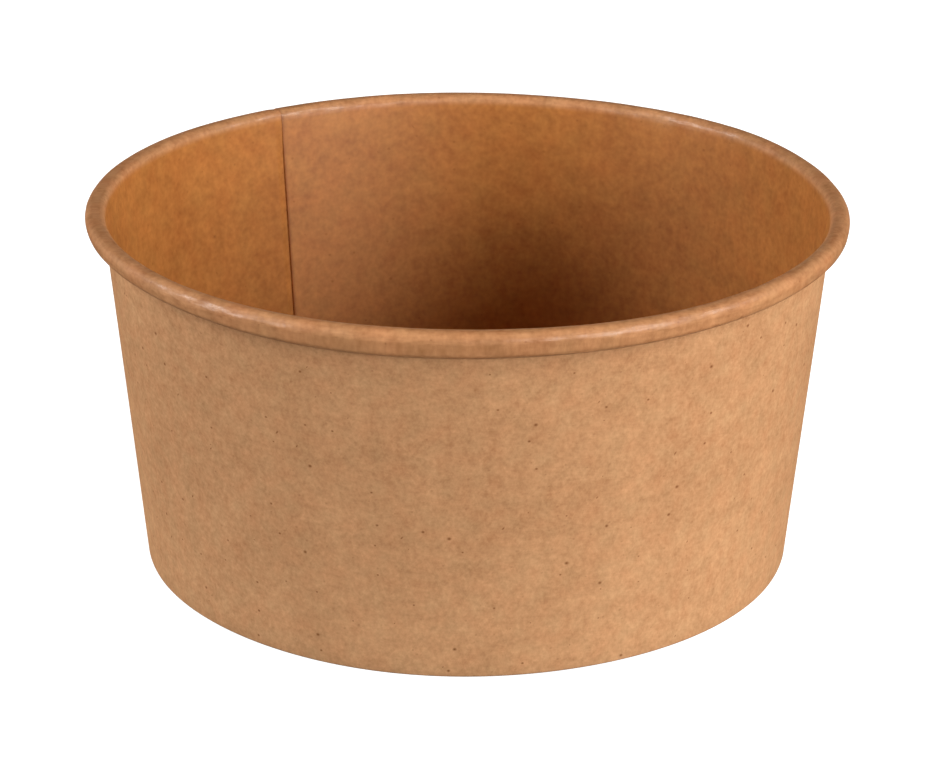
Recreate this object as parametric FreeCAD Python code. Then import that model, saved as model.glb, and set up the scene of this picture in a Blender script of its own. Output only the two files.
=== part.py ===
import FreeCAD, Part
import math
import os

# Round open tub of paperboard, with a rolled rim, a lapped side seam and a raised base.
# Two pieces: the wrapped side wall and the base disc whose skirt its foot is folded around.
# Millimetres, +Z up, origin on the ground in the middle of the foot.

# Outer sizes
rim_diameter = 150.0
height = 72.3
foot_diameter = 130.2

# Board and glue
board = 0.45
glue_gap = 0.03

# Rolled rim, measured on its outside; it overhangs the wall's outer face at its middle height
rim_overhang = 3.42
curl_height = 4.7
curl_flank_lean = 10.0
curl_top_inner_radius = 1.7
curl_top_outer_radius = 1.8
curl_bottom_outer_radius = 1.45
curl_bottom_inner_radius = 1.05
curl_tuck_height = 2.2
curl_stand_off = 0.12

# Folded foot and raised base
base_recess = 8.4
hem_height = 7.4
fold_inner_radius = 0.1
skirt_bend_radius = 0.95
skirt_end_gap = 0.15

# Side seam, angles counted from +X towards +Y
seam_angle = 124.3
lap_width = 8.0
ramp_width = 2.0

# How many short flats draw each bend on the board's lined face and on its raw face.
# The wall's bends run from the rim's tuck over the top and down to the fold.
wall_lined_flat_count = [2, 3, 3, 3, 1, 1]
wall_raw_flat_count = [1, 2, 2, 2, 2, 2]
skirt_lined_flat_count = [2]
skirt_raw_flat_count = [1]

# Derived sizes
rim_radius = rim_diameter / 2.0
foot_radius = foot_diameter / 2.0
curl_bottom = height - curl_height
curl_middle = height - curl_height / 2.0
wall_slope = (rim_radius - rim_overhang - foot_radius) / curl_middle
wall_lean = math.atan(wall_slope)
board_across_wall = board / math.cos(wall_lean)
glue_across_wall = glue_gap / math.cos(wall_lean)
mean_wall_radius = (rim_radius - rim_overhang + foot_radius) / 2.0
lap_angle = math.degrees(lap_width / mean_wall_radius)
ramp_angle = math.degrees(ramp_width / mean_wall_radius)


# Radius of the wall's outer face at a height
def wall_outside(z):
    return foot_radius + wall_slope * z


# Radius of the wall's inner face at a height
def wall_inside(z):
    return wall_outside(z) - board_across_wall


# Direction from one (radius, height) point to another
def direction(start, end):
    length = math.hypot(end[0] - start[0], end[1] - start[1])
    return ((end[0] - start[0]) / length, (end[1] - start[1]) / length)


# Point where two lines cross, each a point and a direction
def crossing(point_a, along_a, point_b, along_b):
    cross = along_a[0] * along_b[1] - along_a[1] * along_b[0]
    gap_r = point_b[0] - point_a[0]
    gap_z = point_b[1] - point_a[1]
    step = (gap_r * along_b[1] - gap_z * along_b[0]) / cross
    return (point_a[0] + step * along_a[0], point_a[1] + step * along_a[1])


# Point moved to the left of a direction
def moved_left(point, along, distance):
    return (point[0] - along[1] * distance, point[1] + along[0] * distance)


# Turn at a corner, positive to the left
def turn(before, after):
    cross = before[0] * after[1] - before[1] * after[0]
    dot = before[0] * after[0] + before[1] * after[1]
    return math.atan2(cross, dot)


# A path of corners and bend radii, moved sideways to its left
def offset_path(corners, radii, distance):
    last = len(corners) - 1
    runs = [direction(corners[i], corners[i + 1]) for i in range(last)]
    moved = [moved_left(corners[0], runs[0], distance)]
    bends = [0.0]
    for i in range(1, last):
        line_a = moved_left(corners[i], runs[i - 1], distance)
        line_b = moved_left(corners[i], runs[i], distance)
        moved.append(crossing(line_a, runs[i - 1], line_b, runs[i]))
        sign = 1.0 if turn(runs[i - 1], runs[i]) > 0 else -1.0
        bends.append(radii[i] - sign * distance)
    moved.append(moved_left(corners[last], runs[last - 1], distance))
    bends.append(0.0)
    return moved, bends


# Points along a path, with each bend drawn as a number of short flats
def path_points(corners, radii, flats):
    points = [corners[0]]
    for i in range(1, len(corners) - 1):
        before = direction(corners[i - 1], corners[i])
        after = direction(corners[i], corners[i + 1])
        bend = turn(before, after)
        side = 1.0 if bend > 0 else -1.0
        reach = radii[i] * math.tan(abs(bend) / 2.0)
        start = (corners[i][0] - before[0] * reach, corners[i][1] - before[1] * reach)
        centre = moved_left(start, before, side * radii[i])
        for step in range(flats[i - 1] + 1):
            angle = bend * step / flats[i - 1]
            spoke_r = start[0] - centre[0]
            spoke_z = start[1] - centre[1]
            points.append((
                centre[0] + spoke_r * math.cos(angle) - spoke_z * math.sin(angle),
                centre[1] + spoke_r * math.sin(angle) + spoke_z * math.cos(angle),
            ))
    points.append(corners[-1])
    return points


# Closed outline of a board whose lined face follows a path, in the plane where X is the radius
def board_outline(path, thickness):
    corners, radii, lined_flats, raw_flats = path
    raw_corners, raw_radii = offset_path(corners, radii, thickness)
    points = path_points(corners, radii, lined_flats)
    points.extend(reversed(path_points(raw_corners, raw_radii, raw_flats)))
    points.append(points[0])
    return Part.makePolygon([FreeCAD.Vector(r, 0.0, z) for r, z in points])


# Path of the wall's inner face where it is one or two plies thick: from the edge tucked inside
# the rim, round the rim, down the wall, round the fold and up to the cut edge of the hem
def wall_path(plies):
    lean = math.radians(curl_flank_lean)
    ease = math.tan(lean) + 1.0 / math.cos(lean) - 1.0
    flank_top = rim_radius + curl_top_outer_radius * ease
    flank_bottom = flank_top - curl_height * math.tan(lean)
    stand_off = (plies - 1) * board_across_wall + curl_stand_off
    tuck_top = curl_bottom + curl_tuck_height
    fold_width = board_across_wall + 2.0 * glue_across_wall
    fold_bottom = plies * board
    corners = [
        (wall_outside(tuck_top) + stand_off, tuck_top),
        (wall_outside(curl_bottom) + stand_off, curl_bottom),
        (flank_bottom, curl_bottom),
        (flank_top, height),
        (wall_inside(height), height),
        (wall_inside(fold_bottom), fold_bottom),
        (wall_inside(fold_bottom) - fold_width, fold_bottom),
        (wall_inside(hem_height) - fold_width, hem_height),
    ]
    radii = [
        0.0,
        curl_bottom_inner_radius,
        curl_bottom_outer_radius,
        curl_top_outer_radius,
        curl_top_inner_radius,
        fold_inner_radius,
        fold_inner_radius,
        0.0,
    ]
    return corners, radii, wall_lined_flat_count, wall_raw_flat_count


# Section of the plies from one depth to another, counted from the inside of the tub
def wall_section(plies, from_depth, to_depth):
    corners, radii, lined_flats, raw_flats = wall_path(plies)
    if from_depth > 0:
        corners, radii = offset_path(corners, radii, from_depth * board)
    path = (corners, radii, lined_flats, raw_flats)
    return board_outline(path, (to_depth - from_depth) * board)


# Section turned to stand at an angle around the tub
def at_angle(shape, angle):
    turned = shape.copy()
    turned.rotate(FreeCAD.Vector(0, 0, 0), FreeCAD.Vector(0, 0, 1), angle)
    return turned


# Section swept around the tub between two angles
def swept(face, start_angle, end_angle):
    span = end_angle - start_angle
    return at_angle(face, start_angle).revolve(
        FreeCAD.Vector(0, 0, 0), FreeCAD.Vector(0, 0, 1), span
    )


# The side wall: one wrapped board, with its two ends lapped at the seam
def side_wall():
    outer_edge_angle = seam_angle - lap_angle
    outer_ramp_angle = seam_angle + ramp_angle
    inner_ramp_angle = outer_edge_angle - ramp_angle
    plain = wall_section(1, 0, 1)
    inner_ply = wall_section(2, 0, 1)
    outer_ply = wall_section(2, 1, 2)
    both_plies = wall_section(2, 0, 2)
    # Plain part of the wall, once round from one end of the lap to the other
    body = swept(Part.Face(plain), outer_ramp_angle, inner_ramp_angle + 360.0)
    # The outer end of the board steps out by one thickness to pass over the inner end
    outer_ramp = Part.makeLoft(
        [at_angle(plain, outer_ramp_angle), at_angle(outer_ply, seam_angle)], True, True
    )
    # The inner end's rim and foot draw in to make room for the outer end's
    inner_ramp = Part.makeLoft(
        [at_angle(plain, inner_ramp_angle), at_angle(inner_ply, outer_edge_angle)], True, True
    )
    lap = swept(Part.Face(both_plies), outer_edge_angle, seam_angle)
    return body.fuse([outer_ramp, inner_ramp, lap]).removeSplitter()


# The base disc: a flat round floor with its edge turned down into a skirt
def base_disc():
    floor_top = base_recess + board
    skirt_bottom = 2.0 * board + skirt_end_gap
    corners = [
        (wall_inside(skirt_bottom) - glue_across_wall, skirt_bottom),
        (wall_inside(floor_top) - glue_across_wall, floor_top),
        (0.0, floor_top),
    ]
    radii = [0.0, skirt_bend_radius, 0.0]
    path = (corners, radii, skirt_lined_flat_count, skirt_raw_flat_count)
    outline = board_outline(path, board)
    return Part.Face(outline).revolve(FreeCAD.Vector(0, 0, 0), FreeCAD.Vector(0, 0, 1), 360.0)


# Shapes that come in a wrapper, reduced to their one solid
def one_solid(shape, name):
    solids = shape.Solids
    if len(solids) != 1:
        raise RuntimeError(name + " is " + str(len(solids)) + " solids, not one")
    if not solids[0].isValid():
        raise RuntimeError(name + " is not a valid solid")
    return solids[0]


os.makedirs("parts", exist_ok=True)
one_solid(side_wall(), "side_wall").exportStep("parts/side_wall.step")
one_solid(base_disc(), "base_disc").exportStep("parts/base_disc.step")
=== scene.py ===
import bpy
import math
from mathutils import Matrix, Vector, noise


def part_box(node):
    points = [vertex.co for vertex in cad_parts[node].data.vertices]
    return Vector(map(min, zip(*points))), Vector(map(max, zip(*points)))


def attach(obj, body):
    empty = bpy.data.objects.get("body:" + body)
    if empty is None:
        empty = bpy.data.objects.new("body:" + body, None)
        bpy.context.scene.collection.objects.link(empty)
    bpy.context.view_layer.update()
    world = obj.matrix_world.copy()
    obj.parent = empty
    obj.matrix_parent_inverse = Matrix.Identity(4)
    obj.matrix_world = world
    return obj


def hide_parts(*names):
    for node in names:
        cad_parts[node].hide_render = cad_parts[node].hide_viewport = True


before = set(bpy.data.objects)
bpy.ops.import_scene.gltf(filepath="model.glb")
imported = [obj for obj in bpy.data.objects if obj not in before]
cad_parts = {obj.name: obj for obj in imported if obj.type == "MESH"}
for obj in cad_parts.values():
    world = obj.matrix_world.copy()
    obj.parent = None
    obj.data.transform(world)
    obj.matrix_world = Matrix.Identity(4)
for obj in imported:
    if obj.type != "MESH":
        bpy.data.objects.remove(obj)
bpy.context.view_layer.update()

wall_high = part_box("side_wall")[1]
disc_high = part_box("base_disc")[1]

# Sizes in millimetres: the rim, height and floor come from the frame, the rest are the part's own
MM = 0.001
rim_radius = wall_high.x / MM
height = wall_high.z / MM
floor_top = disc_high.z / MM
foot_radius = 65.1
rim_overhang = 3.42
board = 0.45
glue_gap = 0.03
curl_height = 4.7
curl_flank_lean = math.radians(10.0)
curl_tuck_radius = 1.05
curl_bottom_radius = 1.45
curl_top_outer_radius = 1.8
curl_top_inner_radius = 1.7
curl_tuck_height = 2.2
curl_stand_off = 0.12
hem_height = 7.4
fold_inner_radius = 0.1
skirt_bend_radius = 0.95
skirt_end_gap = 0.15
seam_angle = 124.3
lap_width = 8.0
ramp_width = 2.0
crushed_width = 0.4

curl_bottom = height - curl_height
wall_slope = (rim_radius - rim_overhang - foot_radius) / (height - curl_height / 2.0)
across_wall = 1.0 / math.cos(math.atan(wall_slope))
mean_radius = (rim_radius - rim_overhang + foot_radius) / 2.0
lap_angle = math.degrees(lap_width / mean_radius)
ramp_angle = math.degrees(ramp_width / mean_radius)
edge_angle = math.degrees(crushed_width / mean_radius)


# Board sections: paths of corners and bend radii, each point a radius and a height

def wall_outside(z):
    """Radius of the wall's outer face at a height."""
    return foot_radius + wall_slope * z


def wall_inside(z):
    """Radius of the wall's inner face at a height."""
    return wall_outside(z) - board * across_wall


# How the real roll differs around the rim, in its height, outwards and upwards, in mm: a
# constant, then pairs of cosine and sine terms of one wave, two waves and so on
ROLL_HEIGHT_WAVES = [-0.36, (0.14, 0.03), (-0.77, -0.25), (0.42, 0.10)]
ROLL_OUTWARD_WAVES = [0.16, (-0.03, 0.14), (-0.06, -0.02), (-0.03, 0.04)]
ROLL_UPWARD_WAVES = [
    -0.044, (-0.083, -0.004), (0.058, 0.033), (-0.014, 0.038),
    (-0.028, 0.003), (-0.045, -0.034), (-0.077, -0.029),
]
# How far the folded foot stands off the ground, given in the same way
FOOT_LIFT_WAVES = [
    0.118, (0.012, -0.045), (-0.014, -0.008), (0.001, -0.011), (-0.027, 0.011), (0.060, 0.045),
]
# The roll's height never falls below this many mm, and eases into it this sharply
LEAST_ROLL_HEIGHT, LEAST_HEIGHT_SHARPNESS = 3.3, 4.0
# A roll lower than this is curled tighter in proportion
FULL_ROLL_HEIGHT = 4.0
# Tightest bend of the lined face that leaves room for two plies inside it
TIGHTEST_BEND = 2.0 * board + 0.08
# Where the roll is creased: middle angle, reach in degrees either way, extra depth in mm
ROLL_CREASES = [
    (50.0, 22.0, 0.30), (100.0, 20.0, 0.12), (320.0, 26.0, 0.05), (212.0, 20.0, 0.03),
]
# The roll presses the lapped end under it to this share of its thickness
PRESSED = 0.28


def wave_sum(waves, angle):
    """A constant and its cosine and sine terms, summed at an angle in degrees."""
    total = waves[0]
    for order, (cosine, sine) in enumerate(waves[1:], 1):
        a = math.radians(angle) * order
        total += cosine * math.cos(a) + sine * math.sin(a)
    return total


def roll_height_at(angle):
    """Height of the roll at an angle, eased so that it stays above its least height."""
    over = curl_height + wave_sum(ROLL_HEIGHT_WAVES, angle) - LEAST_ROLL_HEIGHT
    eased_over = math.log1p(math.exp(LEAST_HEIGHT_SHARPNESS * over)) / LEAST_HEIGHT_SHARPNESS
    return LEAST_ROLL_HEIGHT + eased_over


def wall_path(plies, angle):
    """The lined face of the wall, from the edge tucked in the rim to the hem's cut edge.

    plies goes from 1 to 2 where one end of the board makes room for the other. The roll is
    slightly uneven around the rim, and the foot stands slightly off the ground.
    """
    roll_height = roll_height_at(angle)
    tight = min(1.0, roll_height / FULL_ROLL_HEIGHT)
    outward_radius = rim_radius + wave_sum(ROLL_OUTWARD_WAVES, angle)
    rim_top = height + wave_sum(ROLL_UPWARD_WAVES, angle)
    rim_bottom = rim_top - roll_height
    ease = math.tan(curl_flank_lean) + 1.0 / math.cos(curl_flank_lean) - 1.0
    flank_top = outward_radius + curl_top_outer_radius * tight * ease
    flank_bottom = flank_top - roll_height * math.tan(curl_flank_lean)
    stand_off = (plies - 1.0) * board * across_wall + curl_stand_off
    tuck_top = rim_bottom + curl_tuck_height * tight
    fold_width = (board + 2.0 * glue_gap) * across_wall
    fold_bottom = plies * board + wave_sum(FOOT_LIFT_WAVES, angle)
    corners = [
        Vector((wall_outside(tuck_top) + stand_off, tuck_top)),
        Vector((wall_outside(rim_bottom) + stand_off, rim_bottom)),
        Vector((flank_bottom, rim_bottom)),
        Vector((flank_top, rim_top)),
        Vector((wall_inside(rim_top), rim_top)),
        Vector((wall_inside(fold_bottom), fold_bottom)),
        Vector((wall_inside(fold_bottom) - fold_width, fold_bottom)),
        Vector((wall_inside(hem_height) - fold_width, hem_height)),
    ]
    radii = [
        0.0,
        max(curl_tuck_radius * tight, TIGHTEST_BEND),
        max(curl_bottom_radius * tight, TIGHTEST_BEND),
        curl_top_outer_radius * tight,
        curl_top_inner_radius * tight,
        fold_inner_radius,
        fold_inner_radius,
        0.0,
    ]
    return corners, radii


def disc_path():
    """The lined face of the base disc, from the skirt's cut edge to the middle of the floor."""
    skirt_bottom = 2.0 * board + skirt_end_gap
    gap = glue_gap * across_wall
    corners = [
        Vector((wall_inside(skirt_bottom) - gap, skirt_bottom)),
        Vector((wall_inside(floor_top) - gap, floor_top)),
        Vector((0.0, floor_top)),
    ]
    return corners, [0.0, skirt_bend_radius, 0.0]


def left_of(along):
    """A direction turned a quarter to its left."""
    return Vector((-along.y, along.x))


def turn(before, after):
    """Signed turn from one direction to the next, positive to the left."""
    return math.atan2(before.x * after.y - before.y * after.x, before.dot(after))


def offset_path(corners, radii, distance):
    """The path moved to its left, with its bend radii changed to match."""
    runs = [(b - a).normalized() for a, b in zip(corners, corners[1:])]
    moved = [corners[0] + left_of(runs[0]) * distance]
    bends = [0.0]
    for i in range(1, len(corners) - 1):
        bend = turn(runs[i - 1], runs[i])
        reach = distance * math.tan(bend / 2.0)
        moved.append(corners[i] + left_of(runs[i - 1]) * distance - runs[i - 1] * reach)
        bends.append(radii[i] - math.copysign(distance, bend))
    moved.append(corners[-1] + left_of(runs[-1]) * distance)
    bends.append(0.0)
    return moved, bends


def path_points(corners, radii, run_steps, bend_steps):
    """Points along a path: run_steps on each straight run and bend_steps round each bend."""
    points = [corners[0]]
    last = len(corners) - 1
    for i in range(1, last + 1):
        before = (corners[i] - corners[i - 1]).normalized()
        bend = 0.0
        if i < last:
            bend = turn(before, (corners[i + 1] - corners[i]).normalized())
        start = corners[i] - before * radii[i] * math.tan(abs(bend) / 2.0)
        here = points[-1]
        for step in range(1, run_steps[i - 1] + 1):
            points.append(here.lerp(start, step / run_steps[i - 1]))
        if i < last:
            centre = start + left_of(before) * math.copysign(radii[i], bend)
            for step in range(1, bend_steps[i - 1] + 1):
                angle = bend * step / bend_steps[i - 1]
                points.append(centre + Matrix.Rotation(angle, 2) @ (start - centre))
    return points


# Steps on each straight run and round each bend; the roll is the first four of both
WALL_RUN_STEPS = [2, 1, 4, 2, 26, 1, 4]
WALL_BEND_STEPS = [6, 6, 7, 8, 3, 3]
ROLL_LAST = sum(WALL_RUN_STEPS[:4]) + sum(WALL_BEND_STEPS[:4])
DISC_RUN_STEPS = [4, 24]
DISC_BEND_STEPS = [6]


def eased(share):
    """A share from 0 to 1 with a gentle start and end."""
    share = min(max(share, 0.0), 1.0)
    return share * share * (3.0 - 2.0 * share)


def board_faces(path, depth, run_steps, bend_steps):
    """Points of the board's lined face and of its raw face, a number of plies into the lap."""
    near = offset_path(*path, depth * board) if depth else path
    far = offset_path(*near, board)
    return (
        path_points(*near, run_steps, bend_steps),
        path_points(*far, run_steps, bend_steps),
    )


# The wall as one ribbon of board, from its inner end once round to its outer end

# The ribbon starts at the seam, meets it again after a full turn and ends one lap further on
SEAM_AGAIN = seam_angle - 360.0
LAST_ANGLE = SEAM_AGAIN - lap_angle
# Degrees between stations: at the crushed cut edges, on the lap's ramps and on the rest
EDGE_STEP, RAMP_STEP, PLAIN_STEP = 0.06, 0.22, 0.65
# How far the cut edges of the board's inner and outer end are rounded off, in mm, and the share
# of this that the roll takes away at the inner end
INNER_CRUSH, OUTER_CRUSH = 0.10, 0.15
CRUSH_LOST_IN_ROLL = 0.6
# How many path points it takes to go from the pressed roll to the free wall
PRESSED_FADE = 4.0
# Waviness of the wrapped board: depth in mm, waves around the tub, waves per mm of height
BROAD_SWELL = (0.10, 2.1, 0.012)
CLOSE_SWELL = (0.05, 7.0, 0.035)
# Height in mm up to which the base disc still holds the wall round
HELD_HEIGHT = 12.0
# The roll's fine creases: depth everywhere in mm, how far below the roll they start, and over
# how many mm they come in
LEAST_CREASE = 0.022
CREASE_START, CREASE_FADE = 1.5, 2.5
# Their two sizes: waves around the tub and noise per mm of the section's radius and height
RIPPLE = (13.0, 0.5, 0.35)
CREASE = (27.0, 0.9, -0.5)
# Depth of the small one as a share of the large one's
CREASE_SHARE = 0.6
# The roll's inner shoulder, where it is creased deepest: middle path point and reach in points
SHOULDER_POINT, SHOULDER_REACH = ROLL_LAST - 3, 7.0


def ribbon_angles():
    """Angles of the ribbon's stations in degrees, close together at both ends of the lap."""
    spans = [
        (seam_angle, edge_angle, EDGE_STEP),
        (seam_angle - edge_angle, lap_angle - edge_angle, PLAIN_STEP),
        (seam_angle - lap_angle, ramp_angle, RAMP_STEP),
        (seam_angle - lap_angle - ramp_angle, 360.0 - lap_angle - 2.0 * ramp_angle, PLAIN_STEP),
        (SEAM_AGAIN + ramp_angle, ramp_angle, RAMP_STEP),
        (SEAM_AGAIN, lap_angle - edge_angle, PLAIN_STEP),
        (LAST_ANGLE + edge_angle, edge_angle, EDGE_STEP),
    ]
    angles = []
    for start, span, step in spans:
        count = math.ceil(span / step)
        angles.extend(start - span * i / count for i in range(count))
    angles.append(LAST_ANGLE)
    return angles


def lap_state(angle):
    """How many plies the wall has at a station, and how deep this ply lies in them."""
    past_inner_end = seam_angle - lap_angle - angle
    before_outer_lap = angle - SEAM_AGAIN
    plies = 2.0 - eased(past_inner_end / ramp_angle)
    depth = 1.0 - eased(before_outer_lap / ramp_angle)
    return max(plies, 1.0 + depth), depth


def crushed(angle):
    """How far the cut edges of the board's two ends are rounded off, in mm: inner, outer end."""
    from_inner = (seam_angle - angle) / edge_angle
    from_outer = (angle - LAST_ANGLE) / edge_angle
    inner = (1.0 - min(from_inner, 1.0)) ** 2
    outer = (1.0 - min(from_outer, 1.0)) ** 2
    return INNER_CRUSH * inner, OUTER_CRUSH * outer


def rolled_share(j):
    """1 on the roll and 0 from a few millimetres down the wall, for a path point."""
    return 1.0 - eased((j - ROLL_LAST) / PRESSED_FADE)


def ring_noise(angle, waves, offset):
    """Smooth noise at an angle around the tub, which meets itself after a full turn."""
    a = math.radians(angle)
    return noise.noise(Vector((math.cos(a), math.sin(a), 0.0)) * waves + Vector(offset))


def paper_swell(angle, z):
    """Slight waviness of the wrapped board in millimetres, along the radius."""
    broad_depth, broad_waves, broad_rise = BROAD_SWELL
    close_depth, close_waves, close_rise = CLOSE_SWELL
    broad = ring_noise(angle, broad_waves, (3.1, 0.0, z * broad_rise))
    close = ring_noise(angle, close_waves, (0.0, 8.4, z * close_rise))
    return eased(z / HELD_HEIGHT) * (broad_depth * broad + close_depth * close)


def rim_crease(angle, point, j):
    """Small creases across the rolled rim in millimetres, along the section's outward side."""
    in_rim = eased((point.y - curl_bottom + CREASE_START) / CREASE_FADE)
    if in_rim == 0.0:
        return 0.0
    ripple_waves, ripple_out, ripple_up = RIPPLE
    crease_waves, crease_out, crease_up = CREASE
    ripple_place = (0.0, 0.0, point.x * ripple_out + point.y * ripple_up)
    crease_place = (5.0, 0.0, point.x * crease_out + point.y * crease_up)
    ripple = ring_noise(angle, ripple_waves, ripple_place)
    crease = ring_noise(angle, crease_waves, crease_place)
    shoulder = 1.0 - eased(abs(j - SHOULDER_POINT) / SHOULDER_REACH)
    depth = LEAST_CREASE
    for centre, reach, deepest in ROLL_CREASES:
        off = abs((angle - centre + 180.0) % 360.0 - 180.0)
        depth += deepest * shoulder * (1.0 - eased(off / reach))
    return in_rim * depth * (ripple + CREASE_SHARE * crease)


def placed(point, angle, shift):
    """A section point turned to its place around the tub, in metres."""
    a = math.radians(angle)
    radius = point.x + shift
    return Vector((radius * math.cos(a), radius * math.sin(a), point.y)) * MM


def new_object(name, verts, faces, uvs, slots, materials):
    """A smooth mesh object; uvs are in mm per vertex of each face, slots are material numbers."""
    mesh = bpy.data.meshes.new(name)
    mesh.from_pydata(verts, [], faces)
    layer = mesh.uv_layers.new(name="board_mm")
    layer.data.foreach_set("uv", [c for face in uvs for uv in face for c in uv])
    mesh.polygons.foreach_set("material_index", slots)
    mesh.shade_smooth()
    for material in materials:
        mesh.materials.append(material)
    obj = bpy.data.objects.new(name, mesh)
    bpy.context.scene.collection.objects.link(obj)
    return obj


def keep_edges_sharp(obj, slots):
    """Edges between faces of different material are cut edges of the board, so they stay crisp."""
    mesh = obj.data
    first = {}
    sharp = [False] * len(mesh.edges)
    edge_of = {key: i for i, key in enumerate(mesh.edge_keys)}
    for polygon in mesh.polygons:
        for key in polygon.edge_keys:
            seen = first.setdefault(key, slots[polygon.index])
            if seen != slots[polygon.index]:
                sharp[edge_of[key]] = True
    attribute = mesh.attributes.new("sharp_edge", "BOOLEAN", "EDGE")
    attribute.data.foreach_set("value", sharp)


LINED, RAW, CUT = 0, 1, 2
# Where the middle of the floor lies in the map of the board, clear of the roll's strip
FLOOR_UV = 240.0


def ribbon_mesh(stations, lengths, across):
    """Grid faces of a board ribbon. stations are (lined, raw) point lists already in place.

    lengths are the ribbon's arc positions and across the path positions, in millimetres. The
    lined and raw faces come first, then the ribbon's two long cut edges and its two ends.
    """
    verts = []
    for near, far in stations:
        verts.extend(near)
        verts.extend(far)
    count = len(across)
    faces, uvs, slots = [], [], []

    def add(indices, coords, slot):
        faces.append(indices)
        uvs.append(coords)
        slots.append(slot)

    for k in range(len(stations) - 1):
        a, b = k * 2 * count, (k + 1) * 2 * count
        u0, u1 = lengths[k], lengths[k + 1]
        for j in range(count - 1):
            v0, v1 = across[j], across[j + 1]
            square = [(u0, v0), (u1, v0), (u1, v1), (u0, v1)]
            add((a + j, b + j, b + j + 1, a + j + 1), square, LINED)
            far_a, far_b = a + count, b + count
            add((far_a + j, far_a + j + 1, far_b + j + 1, far_b + j),
                [square[0], square[3], square[2], square[1]], RAW)
        for j, flip in ((0, True), (count - 1, False)):
            edge = [a + j, b + j, b + count + j, a + count + j]
            coords = [(u0, 0.0), (u1, 0.0), (u1, board), (u0, board)]
            if flip:
                edge.reverse()
                coords.reverse()
            add(tuple(edge), coords, CUT)
    for k, flip in ((0, False), (len(stations) - 1, True)):
        a = k * 2 * count
        for j in range(count - 1):
            end = [a + j, a + j + 1, a + count + j + 1, a + count + j]
            v0, v1 = across[j], across[j + 1]
            coords = [(0.0, v0), (0.0, v1), (board, v1), (board, v0)]
            if flip:
                end.reverse()
                coords.reverse()
            add(tuple(end), coords, CUT)
    return verts, faces, uvs, slots


def path_lengths(points):
    """Distance along a list of points."""
    lengths = [0.0]
    for a, b in zip(points, points[1:]):
        lengths.append(lengths[-1] + (b - a).length)
    return lengths


def outward(points):
    """Unit vectors to the right of a path of points, which is the lined face's outward side."""
    sides = []
    for i in range(len(points)):
        along = points[min(i + 1, len(points) - 1)] - points[max(i - 1, 0)]
        sides.append(-left_of(along.normalized()))
    return sides


# How far each point of the wall's section is from the edge tucked in the rim, in mm
wall_line = board_faces(wall_path(1.0, 0.0), 0.0, WALL_RUN_STEPS, WALL_BEND_STEPS)[0]
wall_lengths = path_lengths(wall_line)


def side_wall(materials):
    """The wrapped wall with its rolled rim, lapped seam and folded foot."""
    stations = []
    angles = ribbon_angles()
    for angle in angles:
        plies, depth = lap_state(angle)
        path = wall_path(plies, angle)
        near, far = board_faces(path, depth, WALL_RUN_STEPS, WALL_BEND_STEPS)
        inmost = board_faces(path, 0.0, WALL_RUN_STEPS, WALL_BEND_STEPS)[0]
        sides = outward(near)
        inner_crush, outer_crush = crushed(angle)
        placed_near, placed_far = [], []
        for j, (near_point, far_point, side) in enumerate(zip(near, far, sides)):
            swell = paper_swell(angle, near_point.y)
            crease = side * rim_crease(angle, near_point, j)
            pressed = (1.0 - PRESSED) * rolled_share(j)
            through = far_point - near_point
            lined = near_point.lerp(inmost[j], pressed)
            raw = lined + through * (1.0 - pressed * (plies - 1.0) * (1.0 - depth))
            crush_left = 1.0 - CRUSH_LOST_IN_ROLL * rolled_share(j)
            lined = lined + through.normalized() * inner_crush * crush_left
            raw = raw - through.normalized() * outer_crush
            placed_near.append(placed(lined + crease, angle, swell))
            placed_far.append(placed(raw + crease, angle, swell))
        stations.append((placed_near, placed_far))
    lengths = [math.radians(angles[0] - angle) * mean_radius for angle in angles]
    verts, faces, uvs, slots = ribbon_mesh(stations, lengths, wall_lengths)
    obj = new_object("wrapped_wall", verts, faces, uvs, slots, materials)
    keep_edges_sharp(obj, slots)
    return obj


# The floor's spokes, and its slight swell: depth in mm, waves per mm, and how far inside the
# rim's radius it starts and over how many mm it comes in
DISC_SPOKES = 256
FLOOR_SWELL, FLOOR_SWELL_WAVES = 0.12, 0.03
FLOOR_SWELL_START, FLOOR_SWELL_FADE = 15.0, 20.0


def floor_lift(point, angle):
    """How far the base disc swells upwards at a section point, in mm."""
    a = math.radians(angle)
    here = Vector((math.cos(a), math.sin(a), 0.0)) * point.x
    share = eased((rim_radius - FLOOR_SWELL_START - point.x) / FLOOR_SWELL_FADE)
    return share * FLOOR_SWELL * noise.noise(here * FLOOR_SWELL_WAVES + Vector((1.0, 4.0, 0.0)))


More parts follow.
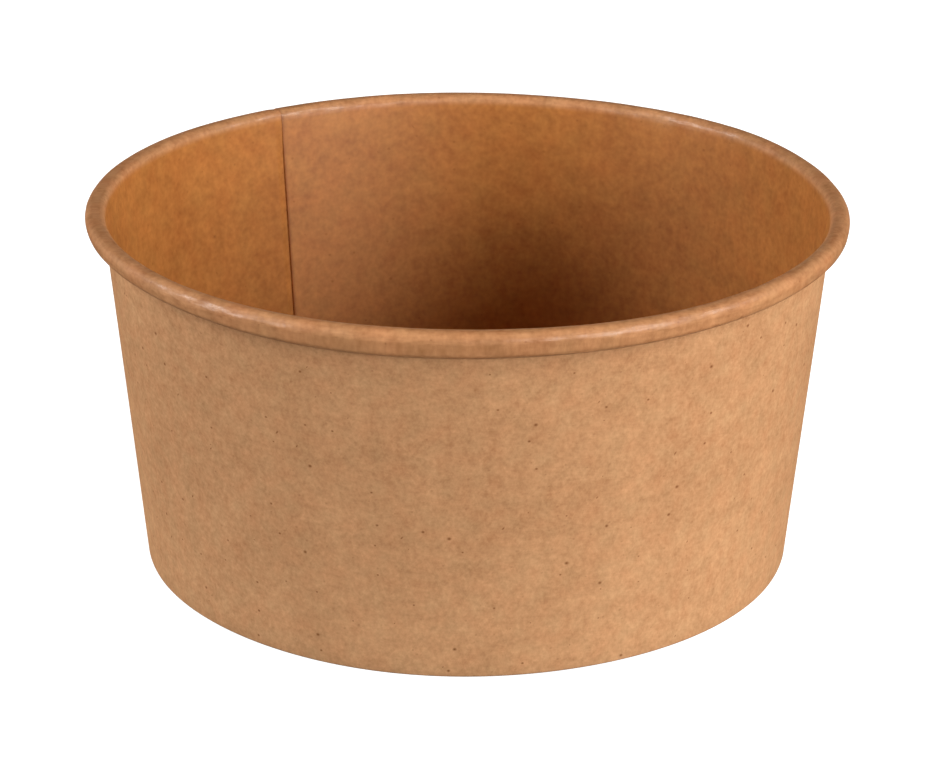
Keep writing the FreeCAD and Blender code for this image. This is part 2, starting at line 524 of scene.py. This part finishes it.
def base_disc(materials):
    """The floor of the tub, its edge turned down into the skirt."""
    near, far = board_faces(disc_path(), 0.0, DISC_RUN_STEPS, DISC_BEND_STEPS)
    ring = len(near) - 1
    verts = []
    for k in range(DISC_SPOKES):
        angle = 360.0 * k / DISC_SPOKES
        for point in near[:-1] + far[:-1]:
            lifted = point + Vector((0.0, floor_lift(point, angle)))
            verts.append(placed(lifted, angle, 0.0))
    middle = len(verts)
    verts.append(placed(near[-1], 0.0, 0.0))
    verts.append(placed(far[-1], 0.0, 0.0))
    lengths = path_lengths(near)
    faces, uvs, slots = [], [], []

    def board_place(i):
        """Where a vertex lies in the map of the board, in mm."""
        if i >= middle:
            return (FLOOR_UV, FLOOR_UV)
        k, j = divmod(i, 2 * ring)
        reach = lengths[-1] - lengths[j % ring]
        a = 2.0 * math.pi * k / DISC_SPOKES
        return (FLOOR_UV + reach * math.cos(a), FLOOR_UV + reach * math.sin(a))

    def add(indices, slot):
        faces.append(indices)
        uvs.append([board_place(i) for i in indices])
        slots.append(slot)

    for k in range(DISC_SPOKES):
        a, b = k * 2 * ring, ((k + 1) % DISC_SPOKES) * 2 * ring
        for j in range(ring - 1):
            add((a + j, a + j + 1, b + j + 1, b + j), LINED)
            add((a + ring + j, b + ring + j, b + ring + j + 1, a + ring + j + 1), RAW)
        add((a + ring - 1, middle, b + ring - 1), LINED)
        add((a + 2 * ring - 1, b + 2 * ring - 1, middle + 1), RAW)
        add((a, b, b + ring, a + ring), CUT)
    obj = new_object("floor_disc", verts, faces, uvs, slots, materials)
    keep_edges_sharp(obj, slots)
    return obj


# Materials

# Lines on the map of the board, in mm from the edge tucked in the rim: the end of the roll, the
# crown of the rim and the foot
roll_end = wall_lengths[ROLL_LAST]
crown_line = wall_lengths[ROLL_LAST - WALL_BEND_STEPS[3] - 1]
foot_line = wall_lengths[ROLL_LAST + WALL_RUN_STEPS[4]]

# Strips of the map: where each effect is full and where it has faded out, in mm
ROLL_STRIP = (roll_end - 0.7, roll_end + 0.9)
# Painted shade on the rim's crown: full at the crown line, fading out either way
BELOW_CROWN = (crown_line, crown_line + 1.9)
ABOVE_CROWN = (crown_line, crown_line - 1.9)
# Painted floor bounce: the board is lightened near the foot, fading out higher up the wall
FLOOR_BOUNCE_STRIP = (foot_line - 3.0, foot_line - 42.0)
SEAM_STRIP = (8.0, 50.0)
# Painted shade beside the board's cut end at the seam: full at the cut, gone 0.85 mm from it
CUT_SHADE_STRIP = (0.0, 0.85)

# Tone of the strips, as shares of the colour's brightness: the roll's scuffs, painted floor bounce
# that lightens the board towards the foot, and painted shade that darkens the rim's crown
SCUFF_TONE, FLOOR_BOUNCE_TONE, CROWN_SHADE_TONE = 0.45, 0.09, -0.12
# Height of the scuffed roll's relief, in mm
SCUFF_HEIGHT = 0.10
# Darker pulp is redder, so the tone works more on green and blue
TONE_SHARES = (1.0, 1.25, 1.5)
# The pulp's tint runs from reddish to greenish
TINT_SHARES = (-0.2, 0.2, 0.3)
# Colour of the specks, and of the painted shade beside the seam's cut end, as shares of the base
# colour
SPECK_AND_SHADE_SHARES = (0.34, 0.19, 0.07)


def node(tree, kind, place, inputs=None, **settings):
    """A shader node with its settings and the values or links of its inputs."""
    made = tree.nodes.new(kind)
    made.location = place
    for name, value in settings.items():
        setattr(made, name, value)
    for name, value in (inputs or {}).items():
        if isinstance(value, bpy.types.NodeSocket):
            tree.links.new(value, made.inputs[name])
        else:
            made.inputs[name].default_value = value
    return made


def math_node(tree, place, operation, first, second=0.0, third=0.0, clamp=False):
    """A Math node's output; each operand is a number or a socket."""
    operands = {0: first, 1: second, 2: third}
    made = node(tree, "ShaderNodeMath", place, operands, operation=operation, use_clamp=clamp)
    return made.outputs[0]


def vector_node(tree, place, operation, first, second):
    """A Vector Math node's output of two vectors, or of a vector and its scale."""
    other = "Scale" if operation == "SCALE" else 1
    operands = {0: first, other: second}
    return node(tree, "ShaderNodeVectorMath", place, operands, operation=operation).outputs[0]


def colour_mix(tree, place, factor, first, second):
    """The mix of two colours; each is a socket or red, green and blue."""
    inputs = {"Factor": factor}
    for socket, colour in ((6, first), (7, second)):
        is_socket = isinstance(colour, bpy.types.NodeSocket)
        inputs[socket] = colour if is_socket else list(colour) + [1.0]
    return node(tree, "ShaderNodeMix", place, inputs, data_type="RGBA").outputs[2]


def turned_map(tree, mm, y, seed, turned, stretch):
    """The map of the board moved by a seed, turned, and stretched along its own v."""
    inputs = {"Vector": mm, "Location": seed, "Rotation": (0.0, 0.0, turned)}
    inputs["Scale"] = (1.0, stretch, 1.0)
    return node(tree, "ShaderNodeMapping", (-1900, y), inputs, vector_type="TEXTURE").outputs[0]


def cloud(tree, mm, y, size, detail, seed, turned=0.0, stretch=1.0):
    """Noise about 0 whose blotches are about size mm across and stretch times as long."""
    moved = turned_map(tree, mm, y, seed, turned, stretch)
    inputs = {"Vector": moved, "Scale": 1.0 / size, "Detail": detail, "Roughness": 0.6}
    made = node(tree, "ShaderNodeTexNoise", (-1700, y), inputs, noise_dimensions="2D")
    return math_node(tree, (-1500, y), "SUBTRACT", made.outputs["Fac"], 0.5)


def specks(tree, mm, y, spacing, radius, seed, turned, stretch, share):
    """Scattered specks, 0 to 1: one in a share of the cells, which are spacing mm apart.

    radius, in mm, is the largest speck's; each is stretch times as long one way as the other.
    """
    moved = turned_map(tree, mm, y, seed, turned, 1.0 / stretch)
    cells = node(tree, "ShaderNodeTexVoronoi", (-1700, y),
                 {"Vector": moved, "Scale": 1.0 / spacing}, voronoi_dimensions="2D")
    pick = node(tree, "ShaderNodeSeparateColor", (-1500, y - 100),
                {"Color": cells.outputs["Color"]})
    wanted = math_node(tree, (-1300, y - 100), "GREATER_THAN", share, pick.outputs["Red"])
    size = math_node(tree, (-1300, y - 200), "MULTIPLY_ADD", pick.outputs["Green"],
                     radius / spacing, 0.4 * radius / spacing)
    away = math_node(tree, (-1250, y), "DIVIDE", cells.outputs["Distance"], size)
    inside = math_node(tree, (-1200, y), "SUBTRACT", 1.25, away, clamp=True)
    return math_node(tree, (-1100, y), "MULTIPLY", inside, wanted)


def strip_mask(tree, y, position, strip):
    """1 where a position in mm is at the strip's full line or beyond it, 0 past its other."""
    full, none = strip
    inputs = {"Value": position, "From Min": min(strip), "From Max": max(strip)}
    inputs["To Min"], inputs["To Max"] = (1.0, 0.0) if full < none else (0.0, 1.0)
    return node(tree, "ShaderNodeMapRange", (-1500, y), inputs,
                interpolation_type="SMOOTHSTEP").outputs[0]


def kraft(name, base, rolled_base, seam_shift, cut_edge_shade, seed, rough, coats,
          blotch_size, blotch, grain, fibre, speck, tooth):
    """Brown kraft board: cloudy pulp, fibres every way, dark specks and a fine tooth.

    The strip that makes the roll has a colour of its own and is scuffed, and seam_shift is how
    the colour changes, as shares of the base, on the strip next to the seam. cut_edge_shade is how
    far painted shade darkens the board beside its cut end at the seam. coats are the film's
    weight on the wall and on the roll. blotch_size and tooth, the height of the surface's grain,
    are in mm; blotch, grain, fibre and speck are strengths as shares of the base colour's
    brightness. The board is also lightened by painted floor bounce towards the foot, and
    darkened by painted shade along the rim's crown.
    """
    material = bpy.data.materials.new(name)
    material.use_nodes = True
    tree = material.node_tree
    shader = tree.nodes["Principled BSDF"]
    uv = node(tree, "ShaderNodeUVMap", (-2300, 0), uv_map="board_mm").outputs["UV"]
    mm = node(tree, "ShaderNodeMapping", (-2100, 0),
              {"Vector": uv, "Location": (seed, 3.0 * seed, 0.0)}).outputs[0]
    on_board = node(tree, "ShaderNodeSeparateXYZ", (-2100, -200), {"Vector": uv})
    along, across = on_board.outputs["X"], on_board.outputs["Y"]

    # Strips of the board that differ from the rest
    rolled = strip_mask(tree, -1400, across, ROLL_STRIP)
    on_wall = math_node(tree, (-1300, -1400), "SUBTRACT", 1.0, rolled)
    near_seam = strip_mask(tree, -1600, along, SEAM_STRIP)
    near_seam = math_node(tree, (-1250, -1600), "MULTIPLY", near_seam, on_wall)
    beside_cut_mask = strip_mask(tree, -1800, along, CUT_SHADE_STRIP)
    # Painted floor bounce, lighter towards the foot
    painted_floor_bounce = strip_mask(tree, -2600, across, FLOOR_BOUNCE_STRIP)
    # Painted shade that darkens the top of the roll along its crown
    crown = math_node(tree, (-1300, -2900), "MULTIPLY",
                      strip_mask(tree, -2800, across, BELOW_CROWN),
                      strip_mask(tree, -3000, across, ABOVE_CROWN))

    # Cloudy pulp, from broad to fine
    broad = cloud(tree, mm, 1400, 5.0 * blotch_size, 1.0, (3.0, 5.0, 0.0))
    middle = cloud(tree, mm, 1200, blotch_size, 2.0, (13.0, 1.0, 0.0))
    small = cloud(tree, mm, 1000, 0.35 * blotch_size, 1.0, (33.0, 51.0, 0.0))
    fine = cloud(tree, mm, 800, 0.34, 1.0, (7.0, 23.0, 0.0))
    tint = cloud(tree, mm, 1600, 1.7 * blotch_size, 1.0, (71.0, 15.0, 0.0))
    tone = math_node(tree, (-900, 1200), "MULTIPLY", broad, 0.6 * blotch)
    tone = math_node(tree, (-850, 1200), "MULTIPLY_ADD", middle, blotch, tone)
    tone = math_node(tree, (-800, 1200), "MULTIPLY_ADD", small, 0.9 * blotch, tone)
    tone = math_node(tree, (-700, 1200), "MULTIPLY_ADD", fine, grain, tone)

    # Fibres, in three directions
    fibre_a = cloud(tree, mm, 500, 0.24, 0.0, (31.0, 2.0, 0.0), 0.35, 6.0)
    fibre_b = cloud(tree, mm, 200, 0.26, 0.0, (1.0, 47.0, 0.0), 1.4, 5.0)
    fibre_c = cloud(tree, mm, -100, 0.22, 0.0, (61.0, 17.0, 0.0), 2.5, 7.0)
    fibres = math_node(tree, (-950, 300), "ADD", fibre_a, fibre_b)
    fibres = math_node(tree, (-900, 300), "ADD", fibres, fibre_c)
    tone = math_node(tree, (-600, 1000), "MULTIPLY_ADD", fibres, fibre, tone)

    # The roll's crinkles, and patches along it where it is rubbed
    crinkle = cloud(tree, mm, -2000, 0.55, 2.0, (9.0, 3.0, 0.0), 0.0, 1.1)
    patch = cloud(tree, mm, -2200, 0.9, 2.0, (19.0, 33.0, 0.0), math.pi / 2.0, 6.0)
    scuffed = math_node(tree, (-950, -2200), "MULTIPLY", patch, 0.8)
    scuffed = math_node(tree, (-900, -2100), "MULTIPLY_ADD", crinkle, 0.4, scuffed)
    scuffed = math_node(tree, (-850, -2100), "MULTIPLY", scuffed, rolled)
    tone = math_node(tree, (-550, 1100), "MULTIPLY_ADD", scuffed, SCUFF_TONE, tone)
    # Painted floor bounce lightens the board towards the foot
    tone = math_node(tree, (-520, 1150), "MULTIPLY_ADD", painted_floor_bounce, FLOOR_BOUNCE_TONE, tone)
    # Painted shade darkens the top of the roll along its crown
    tone = math_node(tree, (-510, 1150), "MULTIPLY_ADD", crown, CROWN_SHADE_TONE, tone)

    # Specks, and painted shade darkening the board beside its cut end at the seam
    round_speck = specks(tree, mm, -500, 7.0, 0.30, (5.0, 9.0, 0.0), 0.0, 1.2, 0.42)
    long_speck = specks(tree, mm, -800, 15.0, 0.32, (15.0, 29.0, 0.0), 0.9, 2.4, 0.30)
    faint_speck = specks(tree, mm, -1100, 4.0, 0.24, (45.0, 19.0, 0.0), 0.4, 1.3, 0.40)
    dark = math_node(tree, (-900, -600), "MAXIMUM", round_speck, long_speck)
    dark = math_node(tree, (-800, -600), "MULTIPLY_ADD", faint_speck, 0.3, dark, clamp=True)
    # Painted shade beside the cut end, mixed in with the specks
    painted_cut_shade = math_node(tree, (-420, 450), "MULTIPLY", beside_cut_mask, cut_edge_shade)
    specks_and_cut_shade = math_node(tree, (-400, 500), "MULTIPLY_ADD", dark, speck, painted_cut_shade, clamp=True)

    # Colour
    level = vector_node(tree, (-550, 1000), "SCALE", TONE_SHARES, tone)
    hue = vector_node(tree, (-550, 850), "SCALE", [blotch * c for c in TINT_SHARES], tint)
    pale = vector_node(tree, (-550, 750), "SCALE", seam_shift, near_seam)
    hue = vector_node(tree, (-520, 850), "ADD", hue, pale)
    level = vector_node(tree, (-500, 950), "ADD", level, hue)
    level = vector_node(tree, (-480, 900), "ADD", level, (1.0, 1.0, 1.0))
    ground = colour_mix(tree, (-500, 700), rolled, base, rolled_base)
    toned = vector_node(tree, (-450, 800), "MULTIPLY", level, ground)
    # The specks and the painted shade at the cut end share one darker colour
    speck_and_shade_colour = [c * share for c, share in zip(base, SPECK_AND_SHADE_SHARES)]
    mixed = colour_mix(tree, (-250, 700), specks_and_cut_shade, toned, speck_and_shade_colour)
    tree.links.new(mixed, shader.inputs["Base Color"])

    # Relief
    relief = math_node(tree, (-700, -300), "MULTIPLY_ADD", small, 1.4, fine)
    relief = math_node(tree, (-600, -300), "MULTIPLY_ADD", fibres, 0.4, relief)
    relief = math_node(tree, (-560, -300), "MULTIPLY", relief, tooth * MM)
    relief = math_node(tree, (-520, -300), "MULTIPLY_ADD", scuffed, SCUFF_HEIGHT * MM, relief)
    bump = node(tree, "ShaderNodeBump", (-300, -300),
                {"Height": relief, "Strength": 1.0, "Distance": 1.0}).outputs["Normal"]
    tree.links.new(bump, shader.inputs["Normal"])

    # Gloss: the film is thin on the wall, and patchy and thicker where the board is rolled
    wall_coat, roll_coat = coats
    if wall_coat == roll_coat:
        shader.inputs["Coat Weight"].default_value = wall_coat
    else:
        film = math_node(tree, (-700, -700), "MULTIPLY_ADD", patch, 4.0, 0.5, clamp=True)
        film = math_node(tree, (-650, -700), "MULTIPLY", film, roll_coat - wall_coat)
        film = math_node(tree, (-600, -700), "MULTIPLY_ADD", film, rolled, wall_coat)
        tree.links.new(film, shader.inputs["Coat Weight"])
        tree.links.new(bump, shader.inputs["Coat Normal"])
    shader.inputs["Roughness"].default_value = rough
    shader.inputs["Specular IOR Level"].default_value = 0.25
    shader.inputs["Coat Roughness"].default_value = 0.27
    return material


LINED_BROWN = (0.384, 0.138, 0.029)
ROLLED_BROWN = (0.460, 0.206, 0.083)
RAW_BROWN = (0.50, 0.250, 0.112)
CUT_BROWN = (0.56, 0.25, 0.10)
NO_SHIFT = (0.0, 0.0, 0.0)
board_materials = [
    kraft(
        "kraft_lined", LINED_BROWN, ROLLED_BROWN, seam_shift=(0.10, 0.22, 0.80),
        cut_edge_shade=0.34, seed=11.0, rough=0.6, coats=(0.04, 0.52), blotch_size=3.8,
        blotch=0.40, grain=0.018, fibre=0.010, speck=0.32, tooth=0.004,
    ),
    kraft(
        "kraft_raw", RAW_BROWN, RAW_BROWN, seam_shift=NO_SHIFT,
        cut_edge_shade=0.3, seed=57.0, rough=0.85, coats=(0.0, 0.0), blotch_size=2.6,
        blotch=0.35, grain=0.050, fibre=0.062, speck=0.85, tooth=0.013,
    ),
    kraft(
        "kraft_cut", CUT_BROWN, CUT_BROWN, seam_shift=NO_SHIFT,
        cut_edge_shade=0.0, seed=83.0, rough=0.9, coats=(0.0, 0.0), blotch_size=2.0,
        blotch=0.15, grain=0.25, fibre=0.05, speck=0.0, tooth=0.02,
    ),
]

wall = side_wall(board_materials)
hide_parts("side_wall")
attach(wall, "root")

disc = base_disc(board_materials)
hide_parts("base_disc")
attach(disc, "root")


# Stage, light and camera

# Half the floor's side in metres, and how brightly it shines by itself
FLOOR_HALF, FLOOR_GLOW = 6.0, 0.92
# Brightness of the room all round
ROOM_LIGHT = 0.04
# Distance of the lights from the tub and side of a square softbox, in metres
LIGHT_DISTANCE, SOFTBOX = 1.4, 0.6
# Square softboxes: azimuth from +X towards +Y and elevation in degrees, power in watts
LIGHTS = {
    "left_high": (180.0, 32.0, 11.5),
    "left_low": (202.0, 12.0, 9.4),
    "right_front": (300.0, 12.0, 9.3),
    "right_low": (320.0, 12.0, 8.8),
    "right_high": (340.0, 32.0, 11.4),
}
# The photograph's camera as fitted to the tub's outline: distance from the origin in metres,
# elevation, how far the view is raised above the origin, roll and yaw in degrees, focal length
# and frame width in pixels
CAMERA_DISTANCE, CAMERA_ELEVATION, VIEW_RAISED = 0.6272, 24.726, 2.781
CAMERA_ROLL, CAMERA_YAW = 0.234, -0.009
FOCAL_PIXELS, FRAME_PIXELS = 3039.9, 935.0


def stage_floor():
    """The pale floor, which neither colours the tub nor shows in its gloss."""
    mesh = bpy.data.meshes.new("studio_floor")
    half = FLOOR_HALF
    corners = [(-half, -half, 0), (half, -half, 0), (half, half, 0), (-half, half, 0)]
    mesh.from_pydata(corners, [], [(0, 1, 2, 3)])
    floor = bpy.data.objects.new("studio_floor", mesh)
    bpy.context.scene.collection.objects.link(floor)
    material = bpy.data.materials.new("studio_floor")
    material.use_nodes = True
    shader = material.node_tree.nodes["Principled BSDF"]
    shader.inputs["Base Color"].default_value = (0.5, 0.5, 0.5, 1.0)
    shader.inputs["Roughness"].default_value = 0.9
    shader.inputs["Specular IOR Level"].default_value = 0.0
    shader.inputs["Emission Color"].default_value = (1.0, 1.0, 1.0, 1.0)
    shader.inputs["Emission Strength"].default_value = FLOOR_GLOW
    mesh.materials.append(material)
    floor.visible_diffuse = False
    floor.visible_glossy = False


def softbox(name, azimuth, elevation, width, depth, power):
    """An area light that looks at the tub. Azimuth is counted from +X towards +Y."""
    light = bpy.data.lights.new(name, "AREA")
    light.shape = "RECTANGLE"
    light.size, light.size_y = width, depth
    light.energy = power
    obj = bpy.data.objects.new(name, light)
    a, e = math.radians(azimuth), math.radians(elevation)
    aim = Vector((0.0, 0.0, height * MM / 2.0))
    away = Vector((math.cos(a) * math.cos(e), math.sin(a) * math.cos(e), math.sin(e)))
    obj.location = aim + away * LIGHT_DISTANCE
    obj.rotation_mode = "QUATERNION"
    obj.rotation_quaternion = (-away).to_track_quat("-Z", "Y")
    bpy.context.scene.collection.objects.link(obj)
    return obj


def photo_camera():
    """The camera that the photograph was taken with, as fitted to the tub's outline."""
    elevation = math.radians(CAMERA_ELEVATION)
    pitch_down = math.radians(CAMERA_ELEVATION - VIEW_RAISED)
    data = bpy.data.cameras.new("photo_camera")
    data.sensor_width = 36.0
    data.lens = FOCAL_PIXELS / FRAME_PIXELS * data.sensor_width
    camera = bpy.data.objects.new("photo_camera", data)
    place = Vector((0.0, -math.cos(elevation), math.sin(elevation))) * CAMERA_DISTANCE
    turned = (
        Matrix.Rotation(math.radians(CAMERA_YAW), 4, "Z")
        @ Matrix.Rotation(math.radians(90.0) - pitch_down, 4, "X")
        @ Matrix.Rotation(math.radians(CAMERA_ROLL), 4, "Z")
    )
    camera.matrix_world = Matrix.Translation(place) @ turned
    bpy.context.scene.collection.objects.link(camera)
    bpy.context.scene.camera = camera


stage_floor()
for light_name, (azimuth, elevation, power) in LIGHTS.items():
    softbox(light_name, azimuth, elevation, SOFTBOX, SOFTBOX, power)
# A low strip behind the tub softens its back, and must not draw a line on the rim
back_fill = softbox("back_fill", 90.0, 3.0, 0.9, 0.12, 2.5)
back_fill.visible_glossy = False
photo_camera()

scene = bpy.context.scene
scene.view_settings.view_transform = "Standard"
world = bpy.data.worlds.new("studio")
world.use_nodes = True
background = world.node_tree.nodes["Background"]
background.inputs["Color"].default_value = (1.0, 1.0, 1.0, 1.0)
background.inputs["Strength"].default_value = ROOM_LIGHT
scene.world = world
